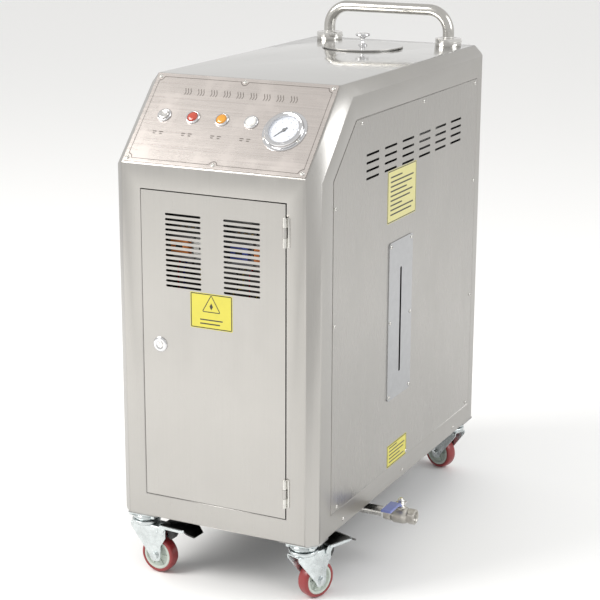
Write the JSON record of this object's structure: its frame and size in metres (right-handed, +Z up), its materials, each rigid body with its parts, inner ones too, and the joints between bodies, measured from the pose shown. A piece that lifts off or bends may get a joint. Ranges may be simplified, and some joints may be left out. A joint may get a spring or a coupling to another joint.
{
  "type": "steam cleaner",
  "caption": "Mobile commercial steam cleaner: faceted stainless cabinet with sloped control face, louvred lockable door, filler lid, push handle, drain valve and braked swivel casters.",
  "frame": {"origin": "on the floor under the middle of the cabinet's plan outline", "axes": "+X to the machine's right (the drain valve's side), -Y towards its front (door and controls), +Z up"},
  "size_m": [0.6028, 0.8864, 1.072],
  "materials": {
    "stainless": "fine brushed stainless sheet",
    "polished_steel": "polished stainless",
    "screw_steel": "plain stainless screws",
    "hinge_steel": "stainless weld-on hinges",
    "chrome_trim": "bright chrome",
    "glass": "clear glass",
    "dial_white": "white printed dial",
    "needle_black": "black needle",
    "lens_red": "red lamp lens",
    "lens_amber": "amber lamp lens",
    "lens_clear": "clear lamp lens",
    "tank_steel": "mill finish stainless",
    "brass": "plain brass",
    "pump_paint": "dark enamel",
    "pipe_steel": "stainless pipe",
    "gland_plastic": "black nylon",
    "electrical_plastic": "grey moulded plastic",
    "valve_steel": "cast and turned stainless",
    "lever_blue": "blue vinyl sleeve",
    "zinc": "bright zinc plate",
    "pedal_black": "dark pressed steel",
    "wheel_grey": "grey nylon",
    "tread_red": "red polyurethane",
    "label_film": "yellow sticker film",
    "print_ink": "dark etching and print"
  },
  "bodies": {
    "cabinet": {"base_pan": "stainless", "body_shell": "stainless", "boiler": "tank_steel", "cable_gland": "gland_plastic", "caster_plates": "zinc", "control_panel_screws": "screw_steel", "control_plate": "polished_steel", "drain_pipe": "pipe_steel", "drain_valve_body": "valve_steel", "electrical_gear": "electrical_plastic", "equipment_plate": "tank_steel", "feed_pump": "pump_paint", "gauge_case": "chrome_trim", "gauge_dial": "dial_white", "gauge_glass": "glass", "handle_flanges": "polished_steel", "handle_tube": "polished_steel", "heater": "tank_steel", "hinge_fixed_leaves": "hinge_steel", "hinge_pins": "screw_steel", "lamp_lens_amber": "lens_amber", "lamp_lens_clear": "lens_clear", "lamp_lens_red": "lens_red", "panel_screws": "screw_steel", "pilot_housings": "chrome_trim", "pipework": "pipe_steel", "rear_panel": "stainless", "safety_valve": "brass", "side_panel_left": "stainless", "side_panel_right": "stainless", "sight_fittings": "brass", "sight_tube": "glass", "steam_outlet": "pipe_steel", "water_tank": "tank_steel", "window_plate": "polished_steel"},
    "door": {"door": "stainless", "lock_barrel": "chrome_trim"},
    "lock": {"lock_cam": "chrome_trim"},
    "lid": {"tank_lid": "polished_steel", "lid_knob": "polished_steel"},
    "needle": {"gauge_needle": "needle_black"},
    "button": {"power_button": "chrome_trim"},
    "drain_handle": {"drain_ball": "valve_steel", "drain_lever": "lever_blue"},
    "caster_front_left": {"caster_fork_front_left": "zinc"},
    "wheel_front_left": {"wheel_core_front_left": "wheel_grey", "wheel_tread_front_left": "tread_red"},
    "pedal_front_left": {"brake_pedal_front_left": "pedal_black"},
    "caster_front_right": {"caster_fork_front_right": "zinc"},
    "wheel_front_right": {"wheel_core_front_right": "wheel_grey", "wheel_tread_front_right": "tread_red"},
    "pedal_front_right": {"brake_pedal_front_right": "pedal_black"},
    "caster_rear_right": {"caster_fork_rear_right": "zinc"},
    "wheel_rear_right": {"wheel_core_rear_right": "wheel_grey", "wheel_tread_rear_right": "tread_red"},
    "pedal_rear_right": {"brake_pedal_rear_right": "pedal_black"},
    "caster_rear_left": {"caster_fork_rear_left": "zinc"},
    "wheel_rear_left": {"wheel_core_rear_left": "wheel_grey", "wheel_tread_rear_left": "tread_red"},
    "pedal_rear_left": {"brake_pedal_rear_left": "pedal_black"}
  },
  "joints": [
    {"name": "door_hinge", "type": "hinge", "parent": "cabinet", "child": "door", "pos_m": [0.15275, -0.4262, 0.481], "axis": [0, 0, 1], "range_deg": [0, 115]},
    {"name": "lock_turn", "type": "hinge", "parent": "door", "child": "lock", "pos_m": [-0.115, -0.422, 0.4865], "axis": [0, 1, 0], "range_deg": [0, 90]},
    {"name": "lid_lift", "type": "slide", "parent": "cabinet", "child": "lid", "axis": [0, 0, 1], "range_m": [0, 0.15]},
    {"name": "needle_turn", "type": "hinge", "parent": "cabinet", "child": "needle", "pos_m": [0.1175, -0.35506, 0.9042], "axis": [0, 0.7237, -0.6901], "range_deg": [0, 270], "stiffness_Nm_per_rad": 0.001},
    {"name": "button_press", "type": "slide", "parent": "cabinet", "child": "button", "axis": [0, 0.7237, -0.6901], "range_m": [0, 0.003], "stiffness_N_per_m": 500, "springref_m": -0.002},
    {"name": "drain_turn", "type": "hinge", "parent": "cabinet", "child": "drain_handle", "pos_m": [0.271, -0.137, 0.102], "axis": [0, 0, 1], "range_deg": [0, 90]},
    {"name": "swivel_front_left", "type": "hinge", "parent": "cabinet", "child": "caster_front_left", "pos_m": [-0.175, -0.389, 0.11], "axis": [0, 0, 1], "continuous": true},
    {"name": "roll_front_left", "type": "hinge", "parent": "caster_front_left", "child": "wheel_front_left", "pos_m": [-0.14308, -0.39123, 0.0375], "axis": [0.0698, 0.9976, 0], "continuous": true},
    {"name": "brake_front_left", "type": "hinge", "parent": "caster_front_left", "child": "pedal_front_left", "pos_m": [-0.12911, -0.39221, 0.0945], "axis": [0.0698, 0.9976, 0], "range_deg": [0, 12]},
    {"name": "swivel_front_right", "type": "hinge", "parent": "cabinet", "child": "caster_front_right", "pos_m": [0.175, -0.389, 0.11], "axis": [0, 0, 1], "continuous": true},
    {"name": "roll_front_right", "type": "hinge", "parent": "caster_front_right", "child": "wheel_front_right", "pos_m": [0.18699, -0.35933, 0.0375], "axis": [-0.9272, 0.3746, 0], "continuous": true},
    {"name": "brake_front_right", "type": "hinge", "parent": "caster_front_right", "child": "pedal_front_right", "pos_m": [0.19223, -0.34635, 0.0945], "axis": [-0.9272, 0.3746, 0], "range_deg": [0, 12]},
    {"name": "swivel_rear_right", "type": "hinge", "parent": "cabinet", "child": "caster_rear_right", "pos_m": [0.175, 0.394, 0.11], "axis": [0, 0, 1], "continuous": true},
    {"name": "roll_rear_right", "type": "hinge", "parent": "caster_rear_right", "child": "wheel_rear_right", "pos_m": [0.14493, 0.40494, 0.0375], "axis": [-0.342, -0.9397, 0], "continuous": true},
    {"name": "brake_rear_right", "type": "hinge", "parent": "caster_rear_right", "child": "pedal_rear_right", "pos_m": [0.13177, 0.40973, 0.0945], "axis": [-0.342, -0.9397, 0], "range_deg": [0, 12]},
    {"name": "swivel_rear_left", "type": "hinge", "parent": "cabinet", "child": "caster_rear_left", "pos_m": [-0.175, 0.394, 0.11], "axis": [0, 0, 1], "continuous": true},
    {"name": "roll_rear_left", "type": "hinge", "parent": "caster_rear_left", "child": "wheel_rear_left", "pos_m": [-0.20507, 0.38306, 0.0375], "axis": [0.342, -0.9397, 0], "continuous": true},
    {"name": "brake_rear_left", "type": "hinge", "parent": "caster_rear_left", "child": "pedal_rear_left", "pos_m": [-0.21823, 0.37827, 0.0945], "axis": [0.342, -0.9397, 0], "range_deg": [0, 12]}
  ]
}
